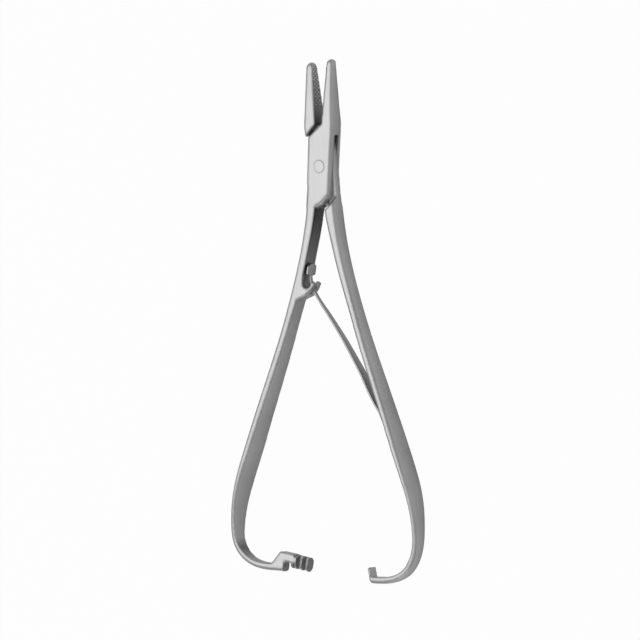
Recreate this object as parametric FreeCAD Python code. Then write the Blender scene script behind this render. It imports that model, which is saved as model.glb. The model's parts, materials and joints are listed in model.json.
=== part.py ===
import FreeCAD, Part
import math
import os

# Palm-squeeze needle holder, millimetres and degrees.
# The pivot's axis is Z, the jaws point to +Y and the handles open along X.
# Everything is drawn about the pivot. The finished solids are then moved so that the middle of the whole
# instrument's lowest plane is the origin, as it lies on its side.
# Each half is drawn as it lies with the jaws shut, then turned open by half of the opening angle.
# The box half carries the right jaw and the left handle, the tenon half the other two.

# Opening, and the gap that is left between the jaw faces when they are shut
opening_angle = 9.2
jaw_gap = 0.34

# Jaws: distances from the pivot, sizes at the root, middle and nose
right_jaw_length = 35.0
left_jaw_length = 34.2
jaw_lean = 1.2
jaw_nose_length = 3.4
jaw_root_thickness = 3.95
jaw_middle_at = 22.0
jaw_middle_thickness = 3.1
jaw_middle_width = 5.0
jaw_nose_thickness = 2.25
jaw_nose_width = 3.3
jaw_nose_radius = 2.2
left_jaw_extra = 0.5
jaw_edge_round = 0.6

# Box lock: depth along the pivot, cheeks, widths and the slanted shoulders
lock_depth = 6.2
front_cheek = 2.5
rear_cheek = 1.0
lock_half_width = 4.9
lock_corner_half_width = 5.3
slot_half_length = 10.4
slot_wall_play = 0.1
tenon_side_play = 0.05
tenon_end_play = 0.28
tenon_corner_inset = 0.2
tenon_side_straight = 2.0
blend_step = 0.06
jaw_step = 0.02
jaw_overlap = 0.6
shoulder_top = 14.0
cheek_shoulder_foot = 8.9
jaw_shoulder_foot = 9.2
shoulder_gap = 0.3
arm_from = 13.0
cheek_corner_at = 9.6
cheek_foot_x = 1.8
cheek_foot_at = 12.2
cheek_inner_at = 13.7
cheek_bevel = 0.8
lower_shoulder_inner_at = 14.2
lower_shoulder_outer_at = 11.5
rear_ramp_drop = 3.5

# Pivot pin
pin_radius = 1.6
pin_running_play = 0.05

# Strip handles: inner face as (x, y), then width and thickness, from the lock to the start of the bend
handle_sections = [
    (0.75, -8.0, 6.1, 3.65),
    (0.8, -14.0, 6.1, 3.6),
    (1.45, -21.0, 6.1, 3.5),
    (2.6, -28.0, 6.05, 3.25),
    (4.0, -35.0, 5.9, 3.1),
    (6.3, -44.6, 5.9, 2.9),
    (9.5, -57.0, 6.6, 2.75),
    (13.4, -70.5, 7.5, 2.7),
    (17.5, -84.0, 8.4, 2.55),
    (21.5, -97.6, 9.3, 2.3),
    (23.8, -105.5, 9.1, 2.05),
    (25.2, -113.0, 7.9, 1.9),
    (25.4, -119.0, 6.6, 1.9),
]
ratchet_bend_sections = [
    (24.7, -124.0, 5.5, 1.95),
    (22.5, -127.5, 4.7, 2.05),
    (19.4, -129.6, 4.2, 2.15),
    (15.6, -130.6, 3.9, 2.25),
    (10.4, -130.7, 3.8, 2.3),
    (6.0, -130.7, 3.8, 2.3),
]
catch_bend_sections = [
    (24.9, -124.5, 5.5, 1.95),
    (23.0, -129.6, 4.6, 2.05),
    (20.0, -132.9, 4.2, 2.1),
    (16.0, -134.4, 4.0, 2.15),
    (11.6, -134.6, 4.0, 2.2),
    (8.3, -134.3, 4.2, 2.2),
    (5.3, -134.0, 4.2, 2.2),
]
handle_edge_round = 0.75
handle_crown = 0.15

# Ratchet at the end of the left handle, with x counted from the middle towards the handle
ratchet_rise = 4.3
ratchet_ramp_length = 3.2
ratchet_ramp_from = 5.0
ratchet_ramp_round = 2.0
ratchet_top_round = 0.7
ratchet_top_fall = 0.5
ratchet_notch_roof = 2.9
ratchet_notch_width = 3.0
ratchet_rim = 0.35
ratchet_sink = 0.9
ratchet_head_length = 6.8
ratchet_head_height = 4.8
ratchet_head_round = 1.8
ratchet_head_drop = 0.6
ratchet_head_tilt = 6.0
ratchet_tooth_count = 3
ratchet_tooth_pitch = 2.35
ratchet_tooth_crest = 0.6
ratchet_tooth_depth = 2.3

# Catch at the end of the right handle
catch_face_at = 7.35
catch_rise = 2.9
catch_tip_thickness = 0.75
catch_lean = 0.95
catch_tip_width = 3.5
catch_rim = 0.2

# Forked lug on the left handle's inner face
lug_at = 38.5
lug_width = 5.9
lug_tip_width = 3.9
lug_groove_radius = 1.45
lug_groove_offset = 2.1
lug_lip_thickness = 1.4
lug_lip_rise = 0.6
lug_root_length = 7.2
lug_bottom_thickness = 2.6
lug_fork_slot = 1.45
lug_run_out = 5.6
lug_shelf = 1.8
lug_sink = 0.6

# Leaf spring, and the rivet that holds it to the right handle
spring_thickness = 0.7
spring_base_width = 5.0
spring_neck_width = 1.3
spring_head_width = 4.6
spring_head_length = 4.0
spring_neck_length = 7.5
spring_head_at = 36.9
spring_seat_play = 0.03
spring_end_at = 90.6
spring_plan_run = 10.0
spring_bow = [(3.3, -50.6), (10.3, -60.7), (15.3, -68.6), (19.4, -75.7)]
rivet_from_end = 2.0
rivet_radius = 0.9
rivet_depth = 1.5
rivet_head_radius = 1.5
rivet_head_height = 0.6
rivet_play = 0.02

half_turn = opening_angle / 2
rivet_at = spring_end_at - rivet_from_end
half_gap = jaw_gap / 2
half_depth = lock_depth / 2
slot_front = half_depth - front_cheek
slot_rear = rear_cheek - half_depth
jaw_from = slot_half_length + 1
far = 40.0


def point(x, y, z=0.0):
    return FreeCAD.Vector(x, y, z)


def turned(shape, angle):
    copy = shape.copy()
    copy.rotate(point(0, 0), point(0, 0, 1), angle)
    return copy


def turned_point(place, angle):
    c = math.cos(math.radians(angle))
    s = math.sin(math.radians(angle))
    return point(place.x * c - place.y * s, place.x * s + place.y * c)


def mirrored(shape):
    return shape.mirror(point(0, 0), point(1, 0, 0))


def prism(corners, low, high):
    """A flat outline, a list of (x, y), made solid between two heights."""
    places = [point(x, y, low) for x, y in corners]
    return Part.Face(Part.makePolygon(places + [places[0]])).extrude(point(0, 0, high - low))


def line(a, b):
    return Part.LineSegment(a, b).toShape()


def arc(a, middle, b):
    return Part.Arc(a, middle, b).toShape()


def curve_through(places):
    curve = Part.BSplineCurve()
    curve.interpolate(places)
    return curve


def rounded_edges(solid, groups):
    """The solid with each group of its edges rounded, one group after another, found again by place."""
    for radius, edges in groups:
        middles = [edge.CenterOfMass for edge in edges]
        found = [e for e in solid.Edges if any(e.CenterOfMass.distanceToPoint(m) < 0.01 for m in middles)]
        solid = solid.makeFillet(radius, found)
    return solid


# Sections that are lofted along a jaw or a handle


def lofted(wires):
    solid = Part.makeLoft(wires, True, False)
    if solid.Volume < 0:
        solid.reverse()
    return solid


def rounded_section(centre, outward, thickness, width, rounding, crown):
    """A flat inner face through the centre, and an outer face with round edges and, if asked for, a crown."""
    up = point(0, 0, width / 2)
    rise = point(0, 0, rounding)
    near = [centre - up, centre + up]
    side = [p + outward * (thickness - crown - rounding) for p in near]
    face = [p + outward * (thickness - crown) for p in near]
    corner = rounding * (1 - math.sqrt(0.5))
    low_mid = face[0] - outward * corner + point(0, 0, corner)
    high_mid = face[1] - outward * corner - point(0, 0, corner)
    if crown:
        back = arc(face[1] - rise, centre + outward * thickness, face[0] + rise)
    else:
        back = line(face[1] - rise, face[0] + rise)
    return Part.Wire([
        line(near[0], near[1]),
        line(near[1], side[1]),
        arc(side[1], high_mid, face[1] - rise),
        back,
        arc(face[0] + rise, low_mid, side[0]),
        line(side[0], near[0]),
    ])


# Jaws


def jaw_size_at(y, nose_at):
    """Thickness and width of the right jaw, from the lock's own size to the start of its nose and on."""
    root_thickness = jaw_root_thickness - jaw_step
    root_width = lock_depth - 2 * jaw_step
    if y < shoulder_top:
        return root_thickness, root_width
    if y < jaw_middle_at:
        share = (y - shoulder_top) / (jaw_middle_at - shoulder_top)
        thickness = root_thickness + share * (jaw_middle_thickness - root_thickness)
        width = root_width + share * (jaw_middle_width - root_width)
        return thickness, width
    share = (y - jaw_middle_at) / (nose_at - jaw_middle_at)
    thickness = jaw_middle_thickness + share * (jaw_nose_thickness - jaw_middle_thickness)
    width = jaw_middle_width + share * (jaw_nose_width - jaw_middle_width)
    return thickness, width


def jaw_nose(length):
    """A round-ended rod about the jaw's middle that rounds its tip all round."""
    middle = half_gap + jaw_nose_thickness / 2
    start = length - jaw_nose_length
    turns = [math.radians(15 * step) for step in range(7)]
    cap = [
        point(middle + jaw_nose_radius * math.cos(turn), start + jaw_nose_length * math.sin(turn))
        for turn in turns
    ]
    outline = Part.Wire([
        line(point(middle, 0), point(middle + jaw_nose_radius, 0)),
        line(point(middle + jaw_nose_radius, 0), cap[0]),
        curve_through(cap).toShape(),
        line(cap[-1], point(middle, 0)),
    ])
    end = Part.Face(outline).revolve(point(middle, 0), point(0, 1), 360)
    guard = prism([(-far, 0), (far, 0), (far, start), (-far, start)], -far, far)
    return guard.fuse(end)


def jaw(root_at, length, extra):
    """A right jaw, its face on the plane of the gap, from a given height to its round nose."""
    nose_at = length - jaw_nose_length
    stations = [
        root_at,
        (root_at + shoulder_top) / 2,
        shoulder_top,
        (shoulder_top + jaw_middle_at) / 2,
        jaw_middle_at,
        (2 * jaw_middle_at + nose_at) / 3,
        (jaw_middle_at + 2 * nose_at) / 3,
        nose_at,
        (nose_at + length + 0.5) / 2,
        length + 0.5,
    ]
    wires = []
    for y in stations:
        thickness, width = jaw_size_at(y, nose_at)
        place = point(half_gap, y)
        wires.append(rounded_section(place, point(1, 0), thickness + extra, width, jaw_edge_round, 0))
    return lofted(wires).common(jaw_nose(length))


# Handles


def handle_curve(sections):
    return curve_through([point(x, y) for x, y, width, thickness in sections])


def outward_at(curve, parameter):
    along = curve.tangent(parameter)[0]
    return point(-along.y, along.x)


def on_handle(curve, y):
    """The inner face's place at a given y, and its outward direction."""
    low = curve.FirstParameter
    high = curve.parameter(point(*handle_sections[-1][:2]))
    for step in range(40):
        middle = (low + high) / 2
        if curve.value(middle).y > y:
            low = middle
        else:
            high = middle
    return curve.value(low), outward_at(curve, low)


def handle(sections):
    curve = handle_curve(sections)
    wires = []
    for x, y, width, thickness in sections:
        place = point(x, y)
        outward = outward_at(curve, curve.parameter(place))
        crown = handle_crown * min(1, (sections[0][1] - y) / 30 + 0.1)
        wires.append(rounded_section(place, outward, thickness, width, handle_edge_round, crown))
    return lofted(wires)


# Box lock


def shoulder_height(x, foot):
    """Height of a slanted upper shoulder above the pivot, for x on the left of the middle."""
    return shoulder_top + x * (shoulder_top - foot) / lock_corner_half_width


def box_block():
    """The box before its slot: straight on the right, slightly waisted on the left."""
    right = half_gap + jaw_root_thickness
    left_top = point(-lock_corner_half_width, cheek_shoulder_foot)
    jaw_side = turned_point(point(right, jaw_from + jaw_overlap), jaw_lean)
    jaw_root = point(jaw_overlap, jaw_from + jaw_overlap)
    top = point(jaw_overlap, shoulder_height(jaw_overlap, cheek_shoulder_foot))
    left_bottom = point(-handle_outer(1) - blend_step, -shoulder_top)
    right_bottom = point(right, -cheek_corner_at)
    foot = point(cheek_foot_x, -cheek_foot_at)
    inner_bottom = point(-handle_sections[1][0], -cheek_inner_at)
    outline = Part.Wire([
        line(top, left_top),
        arc(left_top, point(-lock_half_width, 0), left_bottom),
        line(left_bottom, inner_bottom),
        line(inner_bottom, foot),
        line(foot, right_bottom),
        line(right_bottom, jaw_side),
        line(jaw_side, jaw_root),
        line(jaw_root, top),
    ])
    block = Part.Face(outline).extrude(point(0, 0, lock_depth))
    block.translate(point(0, 0, -half_depth))
    left_edges = []
    right_edges = []
    for edge in block.Edges:
        ends = [v.Point for v in edge.Vertexes]
        if abs(ends[0].z - ends[1].z) > 0.01:
            continue
        if all(end.x < 0.9 * left_bottom.x for end in ends):
            left_edges.append(edge)
        if all(end.x > 0.9 * right for end in ends) and edge.Length > shoulder_top:
            right_edges.append(edge)
    block = rounded_edges(block, [(handle_edge_round, left_edges), (jaw_edge_round, right_edges)])
    return block.cut(bevel_tool(foot, right_bottom)).cut(bevel_tool(inner_bottom, foot))


def bevel_tool(start, end):
    """What is cut off along the front edge of the cheek's lower side, from start to a little past end."""
    along = (end - start).normalize()
    inward = point(-along.y, along.x)
    edge = start + point(0, 0, half_depth)
    up = point(0, 0, 1)
    low = edge - up * (cheek_bevel + 1) - inward
    high = edge + inward * (cheek_bevel + 1) + up
    outline = Part.makePolygon([low, high, edge - inward + up, low])
    return Part.Face(outline).extrude(along * (end.distanceToPoint(start) + 1))


def handle_outer(index):
    """How far out the handle's outer face lies at one of its sections."""
    x, y, width, thickness = handle_sections[index]
    return x + thickness


def lower_shoulder(x):
    """Depth below the pivot of the right handle's slanted shoulder, for x on the right."""
    fall = (lower_shoulder_inner_at - lower_shoulder_outer_at) / lock_half_width
    return lower_shoulder_inner_at - (x - handle_sections[1][0]) * fall


def slot_tool():
    """What is cut out between the cheeks: the slot, and its two open corners."""
    upper = (slot_wall_play, slot_half_length)
    lower = (-slot_wall_play, -slot_half_length)
    corners = [
        (-far, lower[1]),
        lower,
        (lower[0], -far / 2),
        (far, -far / 2),
        (far, upper[1]),
        upper,
        (upper[0], far / 2),
        (-far, far / 2),
    ]
    return prism(corners, slot_rear, slot_front)


def slot_keep():
    """The stretch of the half that the slot may reach, so that jaw and handle stay whole."""
    return prism(
        [
            (-far, -shoulder_top),
            (-handle_sections[1][0], -shoulder_top),
            (-handle_sections[1][0], -far / 2),
            (far, -far / 2),
            (far, shoulder_top),
            (-far, shoulder_top),
        ],
        -far,
        far,
    )


def tenon_outline():
    """The plate that passes through the slot, its sides clear of the slot's ends as it turns."""
    top = slot_half_length - tenon_end_play
    side = half_gap + jaw_root_thickness - tenon_corner_inset
    root_side = handle_outer(0) - blend_step
    handle_inner = handle_sections[1][0]
    top_at = math.sqrt(top ** 2 - side ** 2)
    return [
        (-half_gap, shoulder_top),
        (-half_gap, top_at),
        (side, top_at),
        (root_side, tenon_side_straight),
        (root_side, -shoulder_top),
        (handle_inner, -shoulder_top),
        (handle_inner, -top_at),
        (-side, -top_at),
        (-root_side, -tenon_side_straight),
        (-root_side, shoulder_top),
    ]


def above_upper_shoulder():
    """The half plane above the tenon half's shoulder, a gap away from the cheek's slanted edge."""
    return prism(
        [
            (far, shoulder_height(far, jaw_shoulder_foot) + shoulder_gap),
            (-far, shoulder_height(-far, jaw_shoulder_foot) + shoulder_gap),
            (-far, far * 2),
            (far, far * 2),
        ],
        -far,
        far,
    )


def below_shoulders(handle_solid):
    """The right handle below its slanted shoulder, with ramps that rise from the tenon's two faces."""
    front = slot_front - tenon_side_play
    rear = slot_rear + tenon_side_play
    kept = [
        strip_below(lower_shoulder, -far, far, far * 5, rear).extrude(point(0, 0, far)),
        strip_below(rear_shoulder, -far, far, far * 5, -far).extrude(point(0, 0, far + rear)),
        shoulder_ramp(lower_shoulder, front, half_depth),
        shoulder_ramp(rear_shoulder, rear, -half_depth),
    ]
    pieces = [handle_solid.common(space) for space in kept]
    return pieces[0].multiFuse(pieces[1:])


def strip_below(depth_at, left, right, bottom, z):
    """A flat face whose upper side follows a line of depths below the pivot."""
    places = [
        point(left, -depth_at(left), z),
        point(right, -depth_at(right), z),
        point(right, -bottom, z),
        point(left, -bottom, z),
    ]
    return Part.Face(Part.makePolygon(places + [places[0]]))


def shoulder_ramp(depth_at, start, end):
    """A wedge from the line beside the cheek's edge, at one depth along the pivot, to a shoulder at another."""
    left = handle_sections[1][0] - 0.5
    right = 2 * lock_half_width
    bottom = rear_shoulder(left) + 1
    foot = strip_below(ramp_foot, left, right, bottom, start)
    top = strip_below(depth_at, left, right, bottom, end)
    return Part.makeLoft([foot.OuterWire, top.OuterWire], True, True)


def rear_shoulder(x):
    """Depth below the pivot at which the right handle reaches the lock's full depth behind."""
    return lower_shoulder(x) + rear_ramp_drop


def ramp_foot(x):
    """Depth below the pivot at which the shoulder's ramps start, a gap away from the cheek's slanted edge."""
    right = half_gap + jaw_root_thickness
    slope = (cheek_foot_at - cheek_corner_at) / (right - cheek_foot_x)
    return cheek_corner_at + (right - x) * slope + shoulder_gap * math.hypot(1, slope)


# Ratchet, catch and lug


def ratchet_head(width):
    """A round-edged bar, cut from the front into teeth whose steep faces look towards the catch."""
    head = Part.makeBox(
        ratchet_head_length,
        ratchet_head_height,
        width,
        point(0, -ratchet_head_height, -width / 2),
    )
    long_edges = [e for e in head.Edges if abs(e.tangentAt(e.FirstParameter).x) > 0.9]
    head = head.makeFillet(ratchet_head_round, long_edges)
    gap = ratchet_tooth_pitch - ratchet_tooth_crest
    floor = width / 2 - ratchet_tooth_depth
    for tooth in range(ratchet_tooth_count):
        start = ratchet_tooth_crest + tooth * ratchet_tooth_pitch
        last = tooth == ratchet_tooth_count - 1
        groove = Part.makeBox(
            gap * 0.4 if last else gap,
            ratchet_head_height * 2,
            width,
            point(start, -1.5 * ratchet_head_height, floor),
        )
        head = head.cut(groove)
    head.rotate(point(0, 0), point(0, 0, 1), ratchet_head_tilt)
    return head


def flat_edges(solid, low, high):
    """The edges that lie along the front and back faces, between two places in x."""
    found = []
    for edge in solid.Edges:
        upright = abs(edge.tangentAt(edge.FirstParameter).z) > 0.1
        if not upright and low < edge.CenterOfMass.x < high:
            found.append(edge)
    return found


def corner_edges(solid, x, y):
    """The upright edge that stands over one corner of the outline."""
    found = []
    for edge in solid.Edges:
        start = edge.Vertexes[0].Point
        if abs(start.x - x) < 0.01 and abs(start.y - y) < 0.01 and abs(edge.CenterOfMass.z) < 0.01:
            found.append(edge)
    return found


def ratchet():
    """Ramp, bridge over the notch and toothed head, drawn with x towards the handle like the handle itself."""
    notch_start, y, bar_width, thickness = ratchet_bend_sections[-1]
    width = bar_width - 2 * blend_step
    ramp_foot = notch_start + ratchet_ramp_from
    ramp_top = ramp_foot - ratchet_ramp_length
    notch_end = notch_start - ratchet_notch_width
    top = y + ratchet_rise
    end_top = top - ratchet_top_fall
    roof = top - ratchet_top_fall - ratchet_notch_roof
    block = prism(
        [
            (ramp_foot + 2.5, y),
            (ramp_foot, y),
            (ramp_top, top),
            (notch_end - 1, end_top),
            (notch_end - 1, roof),
            (notch_start, roof),
            (notch_start, y - ratchet_sink),
            (ramp_foot + 2.5, y - ratchet_sink),
        ],
        -width / 2,
        width / 2,
    )
    block = rounded_edges(block, [
        (ratchet_ramp_round, corner_edges(block, ramp_foot, y)),
        (ratchet_top_round, corner_edges(block, ramp_top, top)),
    ])
    rims = [e for e in flat_edges(block, notch_end - 0.9, ramp_foot + 0.9) if e.CenterOfMass.y > y + 0.01]
    block = block.makeChamfer(ratchet_rim, rims)
    head = ratchet_head(width)
    head.translate(point(notch_end - ratchet_head_length, end_top - ratchet_head_drop))
    return block.fuse(head)


def catch():
    """The upturned end of the right handle: a thin tip that leans towards the teeth."""
    x, y, bar_width, thickness = catch_bend_sections[-1]
    width = bar_width - 2 * blend_step
    root = catch_face_at + 0.6
    hook = prism(
        [
            (root, y - ratchet_sink),
            (catch_face_at, y),
            (catch_face_at, y + catch_rise),
            (catch_face_at - catch_tip_thickness, y + catch_rise),
            (catch_face_at - catch_lean, y + catch_rise * 0.7),
            (catch_face_at - catch_lean * 0.55, y - ratchet_sink),
        ],
        -width / 2,
        width / 2,
    )
    hook = hook.makeChamfer(catch_rim, flat_edges(hook, -far, catch_face_at - 0.2))
    places = [
        point(-far, y + catch_rise, -catch_tip_width / 2),
        point(-far, y, -width / 2),
        point(-far, y - thickness, -width / 2),
        point(-far, y - thickness, width / 2),
        point(-far, y, width / 2),
        point(-far, y + catch_rise, catch_tip_width / 2),
    ]
    taper = Part.Face(Part.makePolygon(places + [places[0]])).extrude(point(2 * far, 0, 0))
    return hook.common(taper)


def past_catch():
    """The space past the catch's slanted end, where the right handle's bar stops."""
    x, y, width, thickness = catch_bend_sections[-1]
    slant = catch_face_at - catch_lean * 0.55
    return prism(
        [
            (-far, y + 1),
            (slant, y + 1),
            (slant, y - ratchet_sink),
            (catch_face_at + 0.2, y - thickness - 0.5),
            (-far, y - thickness - 0.5),
        ],
        -far,
        far,
    )


def lug(curve):
    """The forked lug, drawn on the right like the handle: a groove open towards the jaws."""

    def at(offset, y):
        return point(on_handle(curve, y)[0].x - offset, y)

    r = lug_groove_radius
    middle = at(lug_groove_offset, -lug_at)
    lip = lug_groove_offset + r + lug_lip_thickness
    bottom = -lug_at - r - lug_bottom_thickness
    root = at(-lug_sink, -lug_at - lug_root_length)
    back = curve_through([
        root,
        at(lug_sink / 2, (root.y + bottom - 0.05) / 2 + 0.3),
        at(2.3, bottom - 0.2),
        at(lip - 0.9, -lug_at - r - 0.9),
        at(lip - 0.2, -lug_at - 0.5),
        at(lip, -lug_at + lug_lip_rise * 0.7),
    ])
    tip = point(middle.x - r - 0.05, -lug_at + lug_lip_rise + 0.4)
    tip_out = curve_end(back)
    groove_right = point(middle.x - r, middle.y)
    groove_low = point(middle.x, middle.y - r)
    groove_left = point(middle.x + r, middle.y)
    shelf = point(middle.x + r, middle.y + lug_shelf)
    run_out = at(-lug_sink, -lug_at + lug_run_out)
    outline = Part.Wire([
        back.toShape(),
        line(tip_out, tip),
        line(tip, groove_right),
        arc(groove_right, groove_low, groove_left),
        line(groove_left, shelf),
        line(shelf, run_out),
        line(run_out, root),
    ])
    body = Part.Face(outline).extrude(point(0, 0, lug_width))
    body.translate(point(0, 0, -lug_width / 2))
    wide = lug_width / 2
    narrow = lug_tip_width / 2
    reach = at(lip, -lug_at).x
    plan = [
        (reach + far, -wide),
        (middle.x, -wide),
        (reach, -narrow),
        (reach - 2, -narrow),
        (reach - 2, narrow),
        (reach, narrow),
        (middle.x, wide),
        (reach + far, wide),
    ]
    places = [point(x, -far * 2, z) for x, z in plan]
    sides = Part.Face(Part.makePolygon(places + [places[0]])).extrude(point(0, far * 2, 0))
    slot = Part.makeBox(
        lip + 2,
        far,
        lug_fork_slot,
        point(middle.x - lip - 2, -lug_at - r - 1.9, -lug_fork_slot / 2),
    )
    return body.common(sides).cut(slot)


def curve_end(curve):
    return curve.value(curve.LastParameter)


# Leaf spring and rivet, drawn as they lie at rest


def spring_line():
    """The leaf's middle line, from the rivet's end on the right handle to its head in the lug."""
    right = handle_curve(handle_sections + catch_bend_sections)
    left = handle_curve(handle_sections + ratchet_bend_sections)
    lift = spring_thickness / 2 + spring_seat_play
    seat = []
    for y in (-spring_end_at, -rivet_at, 2.2 - rivet_at, 4.4 - rivet_at):
        place, outward = on_handle(right, y)
        seat.append(turned_point(place - outward * lift, half_turn))
    lug_places = []
    groove = lug_groove_offset
    lip = groove + lug_groove_radius + lug_lip_thickness
    for offset, y in (
        (lip + 0.1, -lug_at - lug_groove_radius - 1.5),
        (groove + 1.1, -lug_at - 0.85),
        (groove - 0.55, -spring_head_at + 0.4),
        (groove - 1.1, -spring_head_at + 2.2),
        (groove - 1.35, -spring_head_at + spring_head_length + 1.0),
    ):
        place = on_handle(left, y)[0]
        lug_places.append(turned_point(point(offset - place.x, y), -half_turn))
    bow = [point(x, y) for x, y in reversed(spring_bow)]
    return curve_through(seat + bow + lug_places)


def spring():
    path = spring_line()
    steps = 48
    near = []
    back = []
    for step in range(steps + 1):
        share = path.FirstParameter + step / steps * (path.LastParameter - path.FirstParameter)
        place = path.value(share)
        out = outward_at(path, share) * (spring_thickness / 2)
        near.append(place + out)
        back.append(place - out)
    sides = [curve_through(near), curve_through(back)]
    outline = Part.Wire([
        sides[0].toShape(),
        line(near[-1], back[-1]),
        sides[1].toShape(),
        line(back[0], near[0]),
    ])
    strip = Part.Face(outline).extrude(point(0, 0, spring_head_width + spring_base_width))
    strip.translate(point(0, 0, -(spring_head_width + spring_base_width) / 2))
    return strip.common(spring_plan(curve_end(path).y))


def spring_plan(top):
    """The leaf's outline seen from the side: a long taper, a neck and a round-topped head."""
    base = spring_base_width / 2
    neck = spring_neck_width / 2
    head = spring_head_width / 2
    shoulder = top - spring_head_length
    neck_at = shoulder - spring_neck_length
    bottom = -spring_end_at - spring_plan_run
    taper_from = -spring_end_at + spring_plan_run
    half = [
        line(yz(bottom, 0), yz(bottom, base)),
        line(yz(bottom, base), yz(taper_from, base)),
        line(yz(taper_from, base), yz(neck_at, neck)),
        line(yz(neck_at, neck), yz(shoulder, neck)),
        line(yz(shoulder, neck), yz(shoulder + 0.4, head)),
        line(yz(shoulder + 0.4, head), yz(top - 1.3, head)),
        arc(yz(top - 1.3, head), yz(top - 0.3, head - 0.6), yz(top + 0.01, 0)),
    ]
    other = [edge.mirror(point(0, 0), point(0, 0, 1)) for edge in half]
    outline = Part.Wire(Part.__sortEdges__(half + other))
    plan = Part.Face(outline).extrude(point(2 * far, 0, 0))
    plan.translate(point(-far, 0, 0))
    return plan


def yz(y, z):
    return point(0, y, z)


def rivet_axis():
    right = handle_curve(handle_sections + catch_bend_sections)
    place, outward = on_handle(right, -rivet_at)
    return turned_point(place, half_turn), turned_point(outward, half_turn)


def rivet_shank(radius, play):
    place, outward = rivet_axis()
    above = spring_thickness + spring_seat_play + play
    return Part.makeCylinder(radius, rivet_depth + above, place - outward * above, outward)


def spring_rivet():
    place, outward = rivet_axis()
    seat = place - outward * (spring_thickness + spring_seat_play + rivet_play)
    r = rivet_head_radius
    h = rivet_head_height
    ball = (r * r + h * h) / (2 * h)
    dome = Part.makeSphere(ball, seat + outward * (ball - h))
    keep = Part.makeCylinder(r, h, seat, outward * -1)
    return dome.common(keep).fuse(rivet_shank(rivet_radius, rivet_play))


# The two halves


def box_half():
    body = box_block()
    body = body.cut(slot_tool().common(slot_keep()))
    body = body.fuse(turned(jaw(jaw_from, right_jaw_length, 0), jaw_lean))
    left = handle_sections + ratchet_bend_sections
    below = [(0, -arm_from), (far, -arm_from), (far, -5 * far), (0, -5 * far)]
    arm = handle(left).common(prism(below, -far, far))
    arm = arm.fuse(ratchet()).fuse(lug(handle_curve(left)))
    body = body.fuse(mirrored(arm))
    hole = Part.makeCylinder(pin_radius, lock_depth * 2, point(0, 0, -lock_depth))
    return turned(body.cut(hole).removeSplitter(), -half_turn)


def tenon_half():
    plate = prism(tenon_outline(), slot_rear + tenon_side_play, slot_front - tenon_side_play)
    upper = mirrored(jaw(jaw_shoulder_foot - 1, left_jaw_length, left_jaw_extra))
    upper = turned(upper, jaw_lean).common(above_upper_shoulder())
    right = handle_sections + catch_bend_sections
    lower = below_shoulders(handle(right)).cut(past_catch()).fuse(catch())
    body = plate.fuse(upper).fuse(lower)
    bore = Part.makeCylinder(pin_radius + pin_running_play, lock_depth * 2, point(0, 0, -lock_depth))
    body = turned(body.cut(bore).removeSplitter(), half_turn)
    return body.cut(rivet_shank(rivet_radius + rivet_play, rivet_play * 2))


def pivot_pin():
    return Part.makeCylinder(pin_radius, lock_depth, point(0, 0, -half_depth))


def leaf_spring():
    return spring().cut(rivet_shank(rivet_radius + rivet_play, rivet_play * 2))


def lowest_middle(shapes):
    """The middle of the lowest plane of the box around all shapes."""
    box = FreeCAD.BoundBox()
    for shape in shapes:
        box.add(shape.optimalBoundingBox(False, False))
    return point(box.Center.x, box.Center.y, box.ZMin)


def main():
    parts = {
        "box_half": box_half(),
        "tenon_half": tenon_half(),
        "pivot_pin": pivot_pin(),
        "leaf_spring": leaf_spring(),
        "spring_rivet": spring_rivet(),
    }
    origin = lowest_middle(parts.values())
    print("pivot at", round(-origin.x, 4), round(-origin.y, 4), round(-origin.z, 4))
    os.makedirs("parts", exist_ok=True)
    for name, shape in parts.items():
        print(name, "valid", shape.isValid(), "solids", len(shape.Solids), "volume", round(shape.Volume, 2))
        shape.translate(origin * -1)
        shape.exportStep("parts/" + name + ".step")


main()
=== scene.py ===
import bpy
import bmesh
import json
import math
import numpy as np
from mathutils import Matrix, Vector


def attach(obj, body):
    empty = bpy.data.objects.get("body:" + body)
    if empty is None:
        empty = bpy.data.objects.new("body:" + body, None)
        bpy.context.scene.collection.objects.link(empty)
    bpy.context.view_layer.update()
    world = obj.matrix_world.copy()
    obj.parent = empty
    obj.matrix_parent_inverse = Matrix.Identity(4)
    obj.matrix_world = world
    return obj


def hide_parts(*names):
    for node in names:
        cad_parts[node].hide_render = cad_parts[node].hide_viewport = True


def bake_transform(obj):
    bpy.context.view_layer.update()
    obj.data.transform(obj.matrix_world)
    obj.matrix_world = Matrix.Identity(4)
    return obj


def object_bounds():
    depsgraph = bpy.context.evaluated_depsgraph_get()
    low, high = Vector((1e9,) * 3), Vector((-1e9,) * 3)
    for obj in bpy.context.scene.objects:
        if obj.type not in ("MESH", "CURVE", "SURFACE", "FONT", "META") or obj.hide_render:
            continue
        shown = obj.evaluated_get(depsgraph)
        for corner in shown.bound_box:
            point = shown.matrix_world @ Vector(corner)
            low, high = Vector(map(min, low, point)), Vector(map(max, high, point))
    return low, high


# Palm-squeeze needle holder in satin stainless steel, lying on a white table.
# Places in the dictionaries are millimetres from the pivot: +Y to the jaws, +X to the catch's handle,
# +Z up.

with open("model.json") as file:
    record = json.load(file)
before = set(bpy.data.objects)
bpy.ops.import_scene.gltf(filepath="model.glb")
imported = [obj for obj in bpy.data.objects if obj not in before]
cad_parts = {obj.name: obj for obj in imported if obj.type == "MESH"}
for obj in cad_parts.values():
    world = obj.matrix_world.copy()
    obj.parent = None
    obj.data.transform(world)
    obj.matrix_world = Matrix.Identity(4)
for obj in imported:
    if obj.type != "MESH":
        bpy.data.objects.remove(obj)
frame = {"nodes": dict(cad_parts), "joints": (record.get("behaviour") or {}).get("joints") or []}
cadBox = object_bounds()
print("frame loaded:", ", ".join(sorted(frame["nodes"])))

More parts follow.
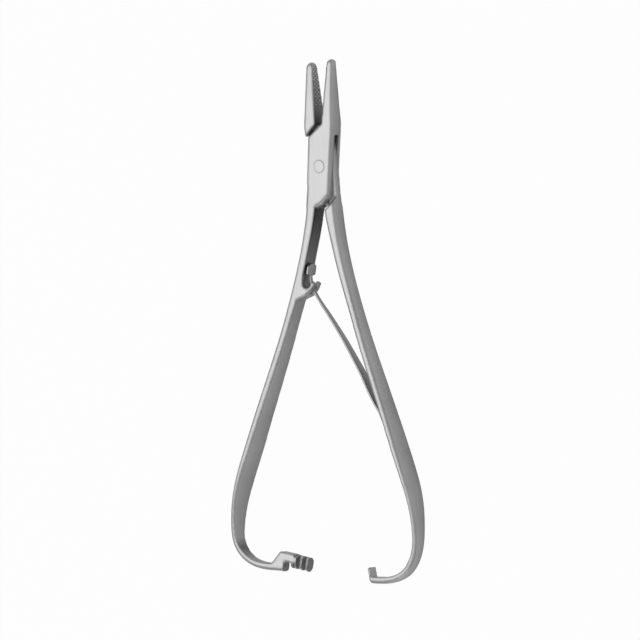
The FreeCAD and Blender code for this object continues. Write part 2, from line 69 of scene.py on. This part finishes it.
mm = 0.001
pivot = np.array(frame["joints"][0]["pos_m"])
openHalf = math.radians(frame["joints"][0]["range_deg"][1] / 2)


# Small tools for meshes

def inFrame(places):  # millimetres about the pivot -> metres in the frame
    return np.asarray(places, float) * mm + pivot


def turnedAbout(places, angle):  # x and y turned about the pivot, counter-clockwise seen from above
    x, y, z = places[..., 0], places[..., 1], places[..., 2]
    c, s = math.cos(angle), math.sin(angle)
    return np.stack([x * c - y * s, x * s + y * c, z], -1)


def tubeFaces(rings, around):
    # quads from ring i to i+1 and from point j to j+1, the last joined to the first,
    # then a cap on each end
    i, j = np.meshgrid(np.arange(rings - 1), np.arange(around), indexing="ij")
    nextJ = (j + 1) % around
    corners = [i * around + j, i * around + nextJ, (i + 1) * around + nextJ, (i + 1) * around + j]
    caps = [list(range(around))[::-1], list(range((rings - 1) * around, rings * around))]
    return np.stack(corners, -1).reshape(-1, 4).tolist() + caps


def tubePiece(name, rings, material):
    # rings: places about the pivot, one closed ring of points in each row
    mesh = bpy.data.meshes.new(name)
    mesh.from_pydata(inFrame(rings).reshape(-1, 3).tolist(), [], tubeFaces(*rings.shape[:2]))
    mesh.update()
    shell = bmesh.new()
    shell.from_mesh(mesh)
    bmesh.ops.recalc_face_normals(shell, faces=shell.faces)
    shell.to_mesh(mesh)
    shell.free()
    piece = bpy.data.objects.new(name, mesh)
    bpy.context.scene.collection.objects.link(piece)
    mesh.materials.append(material)
    return piece


def smoothShaded(piece, sharpDegrees):  # smooth, but for edges that turn by more than sharpDegrees
    piece.data.shade_smooth()
    piece.data.set_sharp_from_angle(angle=math.radians(sharpDegrees))


# Small tools for shader nodes

def floatSockets(group, inputs, outputs):
    for label in inputs:
        group.interface.new_socket(label, in_out="INPUT", socket_type="NodeSocketFloat")
    for label in outputs:
        group.interface.new_socket(label, in_out="OUTPUT", socket_type="NodeSocketFloat")


def mathNode(nodes, operation):
    node = nodes.new("ShaderNodeMath")
    node.operation = operation
    return node


def mapNode(nodes, **limits):
    # limits: fromMin, fromMax, toMin and toMax, each where it isn't the node's own 0 or 1
    labels = {"fromMin": "From Min", "fromMax": "From Max", "toMin": "To Min", "toMax": "To Max"}
    node = nodes.new("ShaderNodeMapRange")
    for key, value in limits.items():
        node.inputs[labels[key]].default_value = value
    return node


def noiseNode(nodes, detail):
    node = nodes.new("ShaderNodeTexNoise")
    node.inputs["Detail"].default_value = detail
    return node


def toneNode(nodes, tones):  # tones: two (position, grey) pairs
    node = nodes.new("ShaderNodeValToRGB")
    for element, (position, grey) in zip(node.color_ramp.elements, tones):
        element.position = position
        element.color = (grey, grey, grey, 1)
    return node


# Steel finishes

steelGrain = {
    "acrossMm": 0.22,
    "alongMm": 9.0,
    "grainDetail": 3.0,
    "grainRoughness": 0.6,
    "cloudMm": 14.0,
    "cloudDetail": 2.0,
    "speckMm": 0.5,
    "speckDetail": 4.0,
    "grainShare": 0.45,         # of the mix that sets colour and roughness
    "cloudShare": 0.55,
    "mixRange": (0.3, 0.7),     # where roughness starts and ends in that mix
    "edgeSamples": 6,
}


def brushedGroup():
    # Grain: noise stretched along the instrument. Cloud: broad soft patches.
    # Speck: fine pits from blasting.
    group = bpy.data.node_groups.new("brushedSteel", "ShaderNodeTree")
    floatSockets(group, ["Grain Across"], ["Grain", "Cloud", "Speck"])
    nodes, links = group.nodes, group.links
    entry = nodes.new("NodeGroupInput")
    leave = nodes.new("NodeGroupOutput")
    place = nodes.new("ShaderNodeTexCoord")
    stretch = nodes.new("ShaderNodeMapping")
    across = 1 / (steelGrain["acrossMm"] * mm)
    stretch.inputs["Scale"].default_value = (across, 1 / (steelGrain["alongMm"] * mm), across)
    grain = noiseNode(nodes, steelGrain["grainDetail"])
    grain.inputs["Roughness"].default_value = steelGrain["grainRoughness"]
    cloud = noiseNode(nodes, steelGrain["cloudDetail"])
    cloud.inputs["Scale"].default_value = 1 / (steelGrain["cloudMm"] * mm)
    speck = noiseNode(nodes, steelGrain["speckDetail"])
    speck.inputs["Scale"].default_value = 1 / (steelGrain["speckMm"] * mm)
    links.new(place.outputs["Object"], stretch.inputs["Vector"])
    links.new(stretch.outputs["Vector"], grain.inputs["Vector"])
    links.new(entry.outputs["Grain Across"], grain.inputs["Scale"])
    links.new(place.outputs["Object"], cloud.inputs["Vector"])
    links.new(place.outputs["Object"], speck.inputs["Vector"])
    links.new(grain.outputs["Fac"], leave.inputs["Grain"])
    links.new(cloud.outputs["Fac"], leave.inputs["Cloud"])
    links.new(speck.outputs["Fac"], leave.inputs["Speck"])
    return group


brushedSteel = brushedGroup()

paintedShadeFacing = (0.45, 0.8)     # X of the normal where the painted shade starts and where it is full


def paintedShadeGroup():
    # Painted shade: how much of its colour a face keeps in shade. It loses Amount at Deep Y, less towards
    # Open Y, and nothing beyond Edge Y or on faces turned away from +X. Y and +X are the piece's own.
    group = bpy.data.node_groups.new("paintedShade", "ShaderNodeTree")
    floatSockets(group, ["Edge Y", "Deep Y", "Open Y", "Amount"], ["Kept"])
    nodes, links = group.nodes, group.links
    entry = nodes.new("NodeGroupInput")
    leave = nodes.new("NodeGroupOutput")
    place = nodes.new("ShaderNodeTexCoord")
    spot = nodes.new("ShaderNodeSeparateXYZ")
    facing = nodes.new("ShaderNodeSeparateXYZ")
    depth = mapNode(nodes, toMin=1.0, toMax=0.0)
    depth.interpolation_type = "SMOOTHSTEP"
    turned = mapNode(nodes, fromMin=paintedShadeFacing[0], fromMax=paintedShadeFacing[1])
    within = mapNode(nodes)
    stretch = mathNode(nodes, "MULTIPLY")
    both = mathNode(nodes, "MULTIPLY")
    lost = mathNode(nodes, "MULTIPLY")
    kept = mathNode(nodes, "SUBTRACT")
    kept.inputs[0].default_value = 1.0
    links.new(place.outputs["Object"], spot.inputs["Vector"])
    links.new(place.outputs["Normal"], facing.inputs["Vector"])
    links.new(spot.outputs["Y"], depth.inputs["Value"])
    links.new(entry.outputs["Deep Y"], depth.inputs["From Min"])
    links.new(entry.outputs["Open Y"], depth.inputs["From Max"])
    links.new(facing.outputs["X"], turned.inputs["Value"])
    links.new(spot.outputs["Y"], within.inputs["Value"])
    links.new(entry.outputs["Edge Y"], within.inputs["From Min"])
    links.new(entry.outputs["Deep Y"], within.inputs["From Max"])
    links.new(depth.outputs["Result"], stretch.inputs[0])
    links.new(within.outputs["Result"], stretch.inputs[1])
    links.new(stretch.outputs[0], both.inputs[0])
    links.new(turned.outputs["Result"], both.inputs[1])
    links.new(both.outputs[0], lost.inputs[0])
    links.new(entry.outputs["Amount"], lost.inputs[1])
    links.new(lost.outputs[0], kept.inputs[1])
    links.new(kept.outputs[0], leave.inputs["Kept"])
    return group


paintedShade = paintedShadeGroup()


def withPaintedShade(nodes, links, colour, zone):
    # the colour with painted shade over one stretch: (edge, deep, open, amount), with places in
    # millimetres from the pivot
    *places, amount = zone
    group = nodes.new("ShaderNodeGroup")
    group.node_tree = paintedShade
    for label, place in zip(("Edge Y", "Deep Y", "Open Y"), places):
        group.inputs[label].default_value = pivot[1] + place * mm
    group.inputs["Amount"].default_value = amount
    dim = nodes.new("ShaderNodeVectorMath")
    dim.operation = "SCALE"
    links.new(colour, dim.inputs[0])
    links.new(group.outputs["Kept"], dim.inputs["Scale"])
    return dim.outputs[0]


def steel(name, finish, edgeMm, paintedShadeZones=()):
    # mix = grain * grainShare + cloud * cloudShare. The mix sets roughness, and colour too unless the
    # colour follows the piece's ridge attribute as painted shade in grooves and painted highlight on
    # crests.
    # Painted shade darkens each zone given. Grain and specks make the bump, over softened edges.
    material = bpy.data.materials.new(name)
    material.use_nodes = True
    nodes, links = material.node_tree.nodes, material.node_tree.links
    shader = nodes["Principled BSDF"]
    shader.inputs["Metallic"].default_value = 1.0
    brushed = nodes.new("ShaderNodeGroup")
    brushed.node_tree = brushedSteel
    brushed.inputs["Grain Across"].default_value = finish["grainAcross"]
    mix = mathNode(nodes, "MULTIPLY_ADD")
    mix.inputs[1].default_value = steelGrain["grainShare"]
    half = mathNode(nodes, "MULTIPLY")
    half.inputs[1].default_value = steelGrain["cloudShare"]
    mixFrom, mixTo = steelGrain["mixRange"]
    smooth, dull = finish["rough"]
    rough = mapNode(nodes, fromMin=mixFrom, fromMax=mixTo, toMin=smooth, toMax=dull)
    relief = mathNode(nodes, "ADD")
    softEdge = nodes.new("ShaderNodeBevel")
    softEdge.samples = steelGrain["edgeSamples"]
    softEdge.inputs["Radius"].default_value = edgeMm * mm
    bump = nodes.new("ShaderNodeBump")
    bump.inputs["Strength"].default_value = 1.0
    bump.inputs["Distance"].default_value = finish["bumpMm"] * mm
    links.new(brushed.outputs["Cloud"], half.inputs[0])
    links.new(brushed.outputs["Grain"], mix.inputs[0])
    links.new(half.outputs[0], mix.inputs[2])
    tone = toneNode(nodes, finish["tones"])
    toneFrom = mix.outputs[0]
    # colour by ridge: painted shade in the grooves, painted highlight on the crests
    if finish["byRidge"]:
        ridge = nodes.new("ShaderNodeAttribute")
        ridge.attribute_name = "ridge"
        toneFrom = ridge.outputs["Fac"]
    links.new(toneFrom, tone.inputs["Fac"])
    colour = tone.outputs["Color"]
    # painted shade over each zone, darkening the colour
    for zone in paintedShadeZones:
        colour = withPaintedShade(nodes, links, colour, zone)
    links.new(colour, shader.inputs["Base Color"])
    links.new(mix.outputs[0], rough.inputs["Value"])
    links.new(rough.outputs["Result"], shader.inputs["Roughness"])
    links.new(brushed.outputs["Grain"], relief.inputs[0])
    links.new(brushed.outputs["Speck"], relief.inputs[1])
    links.new(relief.outputs[0], bump.inputs["Height"])
    links.new(softEdge.outputs["Normal"], bump.inputs["Normal"])
    links.new(bump.outputs["Normal"], shader.inputs["Normal"])
    return material


# tones: (position, grey) pairs; the hatching gets painted shade in its grooves, painted highlight on
# crests
satin = {
    "tones": ((0.3, 0.50), (0.7, 0.66)), "byRidge": False,
    "rough": (0.30, 0.42), "grainAcross": 1.0, "bumpMm": 0.004,
}
sprung = {
    "tones": ((0.3, 0.40), (0.7, 0.52)), "byRidge": False,
    "rough": (0.26, 0.36), "grainAcross": 0.8, "bumpMm": 0.003,
}
hatchPaintedShadeAndHighlight = {
    "tones": ((0.2, 0.32), (0.7, 0.92)), "byRidge": True,
    "rough": (0.30, 0.42), "grainAcross": 1.4, "bumpMm": 0.003,
}
edgesMm = {"forging": 1.2, "spring": 0.10, "rivet": 0.02, "hatching": 0.02}
# (edge, deep, open, amount) of painted shade: the left handle's inside, darkest at the lock, then the
# ratchet's steep faces
boxPaintedShade = [(-10.0, -13.0, -60.0, 0.75), (-121.0, -124.0, -200.0, 0.55)]
# painted shade on the left jaw's face, darkest at its root
tenonPaintedShade = [(5.0, 8.0, 26.0, 0.75)]

satinSteel = steel("satinSteel", satin, edgesMm["rivet"])
boxSteel = steel("boxSteel", satin, edgesMm["forging"], boxPaintedShade)
tenonSteel = steel("tenonSteel", satin, edgesMm["forging"], tenonPaintedShade)
springSteel = steel("springSteel", sprung, edgesMm["spring"])
# the hatching's steel, with painted shade in its grooves and painted highlight on its crests
hatchSteel = steel("hatchSteel", hatchPaintedShadeAndHighlight, edgesMm["hatching"])
print("steel finishes made")


# The two forged halves and the rivets

forged = {
    "skinMm": 0.23,
    "rivetSkinMm": 0.12,
    "mergeMm": 0.002,
    "sliverMm": 0.0001,
    "rubFactor": 0.5,
    "rubSteps": 3,
    "softFadeMm": 0.3,      # how much each step of rubbing draws in the stretch's two ends
    "boxSteps": 16,
    "tenonSteps": 30,
    "boxSoft": [(-32, -12), (-124, -46)],
    "tenonSoft": [(-128, -16)],
}


def mergedCopy(node, name, material):
    # the solid's own triangles, merged at their corners
    mesh = frame["nodes"][node].data.copy()
    mesh.name = name
    shell = bmesh.new()
    shell.from_mesh(mesh)
    bmesh.ops.remove_doubles(shell, verts=shell.verts, dist=forged["mergeMm"] * mm)
    bmesh.ops.dissolve_degenerate(shell, edges=shell.edges, dist=forged["sliverMm"] * mm)
    shell.to_mesh(mesh)
    shell.free()
    mesh.materials.clear()
    mesh.materials.append(material)
    piece = bpy.data.objects.new(name, mesh)
    bpy.context.scene.collection.objects.link(piece)
    return piece


def coverWithSkin(piece, skinMm):
    # small even faces, rubbed down a little: the edges come out as soft as hand polishing leaves them
    skin = piece.modifiers.new("skin", "REMESH")
    skin.mode = "VOXEL"
    skin.voxel_size = skinMm * mm
    skin.use_smooth_shade = True
    rub = piece.modifiers.new("rub", "SMOOTH")
    rub.factor = forged["rubFactor"]
    rub.iterations = forged["rubSteps"]
    graph = bpy.context.evaluated_depsgraph_get()
    mesh = bpy.data.meshes.new_from_object(piece.evaluated_get(graph))
    piece.modifiers.clear()
    piece.data = mesh
    mesh.name = piece.name


def rubDown(mesh, steps, stretches):
    # stretches: (low, high) along Y in millimetres from the pivot;
    # each step smooths the points inside one of them
    axes = {"use_axis_x": True, "use_axis_y": True, "use_axis_z": True}
    shell = bmesh.new()
    shell.from_mesh(mesh)
    for low, high in stretches:
        for step in range(steps):
            inset = step * forged["softFadeMm"]
            bottom, top = pivot[1] + (low + inset) * mm, pivot[1] + (high - inset) * mm
            inside = [v for v in shell.verts if bottom < v.co.y < top]
            bmesh.ops.smooth_vert(shell, verts=inside, factor=forged["rubFactor"], **axes)
    shell.to_mesh(mesh)
    shell.free()


def dressedCopy(node, name, material, skinMm, softSteps=0, softened=()):
    piece = mergedCopy(node, name, material)
    coverWithSkin(piece, skinMm)
    rubDown(piece.data, softSteps, softened)
    piece.data.shade_smooth()
    print(name, "faces", len(piece.data.polygons))
    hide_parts(node)
    return piece


boxForging = dressedCopy(
    "box_half", "boxForging", boxSteel,
    forged["skinMm"], forged["boxSteps"], forged["boxSoft"],
)
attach(boxForging, "box_body")
tenonForging = dressedCopy(
    "tenon_half", "tenonForging", tenonSteel,
    forged["skinMm"], forged["tenonSteps"], forged["tenonSoft"],
)
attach(tenonForging, "tenon_body")
leafRivet = dressedCopy("spring_rivet", "leafRivet", springSteel, forged["rivetSkinMm"])
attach(leafRivet, "tenon_body")

rivet = {
    "around": 72,
    "headRadius": 1.86,     # the hammered ends spread into the cheeks and are ground flush with them
    "shankRadius": 1.58,
    "halfLength": 3.1,
    "headDepth": 0.35,
    "crown": 0.012,
    "crownRings": 10,
    "crownFrom": 0.02,      # share of the radius at which the crown's rings start
    "sharpDegrees": 40,
}


def turnedRivet():
    # a profile of (radius, height) carried round the pivot: a shank with two spread ends, barely
    # crowned;
    # crown height = halfLength + crown * (1 - share^2), share being the part of the head's radius
    head, shank, half = rivet["headRadius"], rivet["shankRadius"], rivet["halfLength"]
    depth = rivet["headDepth"]
    share = np.linspace(rivet["crownFrom"], 1, rivet["crownRings"])
    end = np.stack([head * share, half + rivet["crown"] * (1 - share ** 2)], 1)
    neck = np.array([[head, half - depth], [shank, half - 2 * depth]])
    upper = np.concatenate([end, neck])
    profile = np.concatenate([upper, (upper * [1, -1])[::-1]])
    turn = np.linspace(0, 2 * math.pi, rivet["around"], endpoint=False)[None, :]
    radius, height = profile[:, 0:1], profile[:, 1:2]
    places = np.stack([radius * np.cos(turn), radius * np.sin(turn), height + 0 * turn], -1)
    piece = tubePiece("pivotRivet", places, satinSteel)
    smoothShaded(piece, rivet["sharpDegrees"])
    return piece


pivotRivet = turnedRivet()
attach(pivotRivet, "box_body")
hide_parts("pivot_pin")
print("forged halves dressed")


# Crossed grooves on the jaws' faces

hatch = {
    "lean": 1.2,            # degrees that both jaws lean to the left of the handles
    "faceGap": 0.17,        # from the middle plane to each face with the jaws shut
    "from": 19.6,
    "rightEnd": 34.3,
    "leftEnd": 33.5,
    "tipMargin": 0.7,       # from the last groove to the jaw's tip
    "rootWidth": 5.25,      # face width at the start, then where the nose starts
    "noseWidth": 3.2,
    "taperPower": 1.15,
    "noseLength": 3.4,
    "noseRadius": 2.2,
    "noseCentre": 1.125,
    "leastHalfWidth": 0.2,
    "margin": 0.34,
    "pitchAlong": 1.35,     # size of one pyramid along and across the jaw
    "pitchAcross": 1.9,
    "height": 0.13,
    "sink": 0.05,
    "rows": 330,
    "columns": 96,
}


def hatchHalfWidth(y, endAt):
    # half the face's width less a margin: (root + s^p * (nose - root)) / 2 along the jaw, s from 0 to 1,
    # and no more than sqrt(r^2 * (1 - t^2) - c^2) in the rounded nose, t from 0 to 1
    noseFrom = endAt + hatch["tipMargin"] - hatch["noseLength"]
    share = np.clip((y - hatch["from"]) / (noseFrom - hatch["from"]), 0, 1)
    narrowing = hatch["noseWidth"] - hatch["rootWidth"]
    body = hatch["rootWidth"] + share ** hatch["taperPower"] * narrowing
    along = np.clip((y - noseFrom) / hatch["noseLength"], 0, 1)
    noseSquare = hatch["noseRadius"] ** 2 * (1 - along ** 2) - hatch["noseCentre"] ** 2
    nose = np.sqrt(np.maximum(noseSquare, hatch["leastHalfWidth"] ** 2))
    return np.minimum(body / 2, nose) - hatch["margin"]


def hatchedFace(name, side, endAt, angle):
    # height = h * min(zigzag(y/a + z/b), zigzag(y/a - z/b)), where zigzag runs 0-1-0 over each unit
    y = np.linspace(hatch["from"], endAt, hatch["rows"])[:, None]
    across = np.linspace(-1, 1, hatch["columns"])[None, :]
    z = across * hatchHalfWidth(y, endAt)
    yy = y + 0 * across
    one = yy / hatch["pitchAlong"] + z / hatch["pitchAcross"]
    two = yy / hatch["pitchAlong"] - z / hatch["pitchAcross"]
    zigzagOne = 1 - np.abs((one % 1) * 2 - 1)
    zigzagTwo = 1 - np.abs((two % 1) * 2 - 1)
    height = hatch["height"] * np.minimum(zigzagOne, zigzagTwo)
    height[:, [0, -1]] = 0
    height[[0, -1], :] = 0
    top = np.stack([side * (hatch["faceGap"] - height), yy, z], -1)
    sunk = side * (hatch["faceGap"] + hatch["sink"]) + 0 * yy
    under = np.stack([sunk, yy, z], -1)[:, [-1, 0]]
    rings = turnedAbout(np.concatenate([top, under], 1), angle)
    piece = tubePiece(name, rings, hatchSteel)
    # the ridge attribute becomes painted shade in the grooves and painted highlight on the crests
    ridge = np.zeros(rings.shape[:2])
    ridge[:, :hatch["columns"]] = height / hatch["height"]
    mark = piece.data.attributes.new("ridge", "FLOAT", "POINT")
    mark.data.foreach_set("value", ridge.reshape(-1))
    return piece


lean = math.radians(hatch["lean"])
rightHatch = hatchedFace("rightJawHatching", 1, hatch["rightEnd"], lean - openHalf)
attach(rightHatch, "box_body")
leftHatch = hatchedFace("leftJawHatching", -1, hatch["leftEnd"], lean + openHalf)
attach(leftHatch, "tenon_body")
print("jaw faces hatched")


# Leaf spring: one tapered leaf from the right handle to the fork of the left one

leaf = {
    # middle line at rest as (x, y), from the rivet's end to the top of the head
    "line": [
        (27.05, -91.0), (26.28, -88.9), (24.6, -84.4), (22.5, -80.2), (19.8, -76.3),
        (17.3, -72.2), (15.0, -68.0), (12.5, -64.0), (7.2, -56.0), (1.55, -48.4),
        (-1.4, -44.7), (-4.1, -40.75), (-5.7, -36.3), (-5.15, -31.6),
    ],
    "thickness": 0.7,
    "baseWidth": 5.0,
    "neckWidth": 1.3,
    "headWidth": 4.6,
    "headLength": 4.0,
    "neckLength": 7.5,
    "baseLength": 10.0,
    "topRound": 1.4,        # length over which the head's top is rounded, and how squarely
    "topPower": 2.4,
    "topLeast": 0.02,
    "shoulder": 0.5,        # length over which the head narrows to the neck
    "topPlain": 1.0,        # nearer the top than this the head may be narrower than the neck
    "leastWidth": 0.6,
    "edgeRound": 0.22,
    "edgePoints": 5,
    "rings": 260,
    "stepsBetween": 24,     # steps of the curve from one point of the line to the next
    "sharpDegrees": 35,
}


def smoothLine(points, count):
    # Catmull-Rom curve through the points, read at equal steps of its length
    p = np.asarray(points, float)
    p = np.concatenate([[2 * p[0] - p[1]], p, [2 * p[-1] - p[-2]]])
    t = np.linspace(0, 1, leaf["stepsBetween"], endpoint=False)[None, :, None]
    a, b, c, d = (p[k:len(p) - 3 + k][:, None, :] for k in range(4))
    squared = (2 * a - 5 * b + 4 * c - d) * t ** 2
    curve = 0.5 * (2 * b + (c - a) * t + squared + (3 * b - a - 3 * c + d) * t ** 3)
    curve = np.concatenate([curve.reshape(-1, 2), p[-2:-1]])
    reach = np.concatenate([[0], np.cumsum(np.linalg.norm(np.diff(curve, axis=0), axis=1))])
    steps = np.linspace(0, reach[-1], count)
    return np.stack([np.interp(steps, reach, curve[:, k]) for k in (0, 1)], 1), steps


def leafWidth(steps):
    # head = w * sqrt(1 - (1 - u)^p) with u from 0 at the top to 1 where the rounding ends, then
    # w * (1 - v^2) with v from 0 to 1 over the shoulder, then a straight taper from the neck to the base
    total = steps[-1]
    fromTop = total - steps
    taper = np.interp(
        fromTop,
        [leaf["headLength"] + leaf["neckLength"], total - leaf["baseLength"]],
        [leaf["neckWidth"], leaf["baseWidth"]],
    )
    rounding = 1 - np.clip(fromTop / leaf["topRound"], 0, 1)
    top = leaf["headWidth"] * np.sqrt(np.clip(1 - rounding ** leaf["topPower"], leaf["topLeast"], 1))
    falling = np.clip((fromTop - leaf["headLength"] + leaf["shoulder"]) / leaf["shoulder"], 0, 1)
    foot = leaf["headWidth"] * (1 - falling ** 2)
    neck = leaf["neckWidth"] * (fromTop > leaf["topPlain"])
    head = np.maximum(np.minimum(top, foot), neck)
    return np.maximum(np.where(fromTop < leaf["headLength"], head, taper), leaf["leastWidth"])


def leafSpring():
    # a round-edged strip of one thickness carried along the line
    line, steps = smoothLine(leaf["line"], leaf["rings"])
    width = leafWidth(steps)
    ahead = np.gradient(line, axis=0)
    ahead /= np.linalg.norm(ahead, axis=1)[:, None]
    side = np.stack([ahead[:, 1], -ahead[:, 0]], 1)
    turn = np.linspace(0, math.pi / 2, leaf["edgePoints"])
    r = leaf["edgeRound"]
    corner = np.stack([np.cos(turn) * r - r, np.sin(turn) * r - r], 1)  # from the edge to the face
    z0 = width[:, None] / 2 + corner[:, 0]
    h0 = leaf["thickness"] / 2 + corner[:, 1] + 0 * z0
    z = np.concatenate([z0, -z0[:, ::-1], -z0, z0[:, ::-1]], 1)
    h = np.concatenate([h0, h0[:, ::-1], -h0, -h0[:, ::-1]], 1)
    ring = np.stack([line[:, 0:1] + side[:, 0:1] * h, line[:, 1:2] + side[:, 1:2] * h, z], -1)
    piece = tubePiece("leafSpring", ring, springSteel)
    smoothShaded(piece, leaf["sharpDegrees"])
    return piece


spring = leafSpring()
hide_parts("leaf_spring")
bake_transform(spring)
print("leaf spring made")


# Table, light and camera

table = {"size": 6.0, "white": 0.9, "cameraWhite": 0.97, "sinkMm": 0.02}


def makeTable():
    # plain matt white, and in the camera's own view mostly an even white that still takes the shadow
    bpy.ops.mesh.primitive_plane_add(size=table["size"])
    board = bpy.context.object
    board.name = "table"
    board.location = (0, 0, cadBox[0][2] - table["sinkMm"] * mm)
    material = bpy.data.materials.new("tableWhite")
    material.use_nodes = True
    nodes, links = material.node_tree.nodes, material.node_tree.links
    nodes.remove(nodes["Principled BSDF"])
    matt = nodes.new("ShaderNodeBsdfDiffuse")
    matt.inputs["Color"].default_value = (table["white"],) * 3 + (1,)
    plain = nodes.new("ShaderNodeEmission")
    plain.inputs["Strength"].default_value = 1.0
    path = nodes.new("ShaderNodeLightPath")
    amount = mathNode(nodes, "MULTIPLY")
    amount.inputs[1].default_value = table["cameraWhite"]
    mix = nodes.new("ShaderNodeMixShader")
    links.new(path.outputs["Is Camera Ray"], amount.inputs[0])
    links.new(amount.outputs[0], mix.inputs[0])
    links.new(matt.outputs[0], mix.inputs[1])
    links.new(plain.outputs[0], mix.inputs[2])
    links.new(mix.outputs[0], nodes["Material Output"].inputs["Surface"])
    board.data.materials.append(material)


makeTable()

studio = {
    "world": 0.30,
    # name: place in metres from the pivot, size in metres, power in watts
    "lamps": {
        "keyBox": ((-0.55, 0.05, 0.85), (0.9, 0.7), 2.2),
        "topStrip": ((0.1, -0.1, 1.1), (0.5, 1.0), 1.5),
        "rightFill": ((1.1, 0.2, 0.45), (0.5, 0.9), 0.4),
        "footFill": ((0.0, -1.2, 0.45), (0.8, 0.4), 1.2),
    },
}


def makeStudio():
    # the world lights the part with the named strength and is plain white to the camera
    world = bpy.data.worlds.new("studio")
    world.use_nodes = True
    nodes, links = world.node_tree.nodes, world.node_tree.links
    back = nodes["Background"]
    back.inputs["Color"].default_value = (1, 1, 1, 1)
    path = nodes.new("ShaderNodeLightPath")
    strength = mapNode(nodes, toMin=studio["world"], toMax=1.0)
    links.new(path.outputs["Is Camera Ray"], strength.inputs["Value"])
    links.new(strength.outputs["Result"], back.inputs["Strength"])
    bpy.context.scene.world = world
    for name, (place, size, power) in studio["lamps"].items():
        lamp = bpy.data.lights.new(name, "AREA")
        lamp.shape = "RECTANGLE"
        lamp.size, lamp.size_y = size
        lamp.energy = power
        holder = bpy.data.objects.new(name, lamp)
        holder.location = Vector(pivot) + Vector(place)
        holder.rotation_euler = (-Vector(place)).to_track_quat("-Z", "Y").to_euler()
        bpy.context.scene.collection.objects.link(holder)


makeStudio()
print("table and lamps placed")

view = {
    "pixels": 640,                  # width of the square picture
    "pixelsPerMm": 3.0756,          # at the pivot
    "pivotPixels": (4.3, 153.6),    # the pivot's place, right of and above the picture's middle
    "turn": 34.9,                   # degrees about the long axis, towards the catch's side
    "rise": 0.83,
    "roll": 0.52,
    "distance": 3.2,
    "sensorMm": 36,
    "clipEnd": 20,
}


def makeCamera():
    turn, rise, roll = (math.radians(view[key]) for key in ("turn", "rise", "roll"))
    across = Vector((math.cos(turn), 0, -math.sin(turn)))
    towards = Vector((math.sin(turn), 0, math.cos(turn)))
    up = Vector((0, math.cos(rise), 0)) - towards * math.sin(rise)
    right = across * math.cos(roll) - up * math.sin(roll)
    top = across * math.sin(roll) + up * math.cos(roll)
    back = right.cross(top)
    pixel = mm / view["pixelsPerMm"]
    pivotRight, pivotUp = view["pivotPixels"]
    middle = Vector(pivot) - right * pivotRight * pixel - top * pivotUp * pixel
    lens = bpy.data.cameras.new("camera")
    lens.sensor_width = view["sensorMm"]
    lens.lens = view["sensorMm"] * view["distance"] / (view["pixels"] * pixel)
    lens.clip_end = view["clipEnd"]
    camera = bpy.data.objects.new("camera", lens)
    turned = Matrix((right, top, back)).transposed().to_4x4()
    camera.matrix_world = Matrix.Translation(middle + back * view["distance"]) @ turned
    bpy.context.scene.collection.objects.link(camera)
    bpy.context.scene.camera = camera


makeCamera()
bpy.context.scene.view_settings.view_transform = "Standard"
print("camera placed")
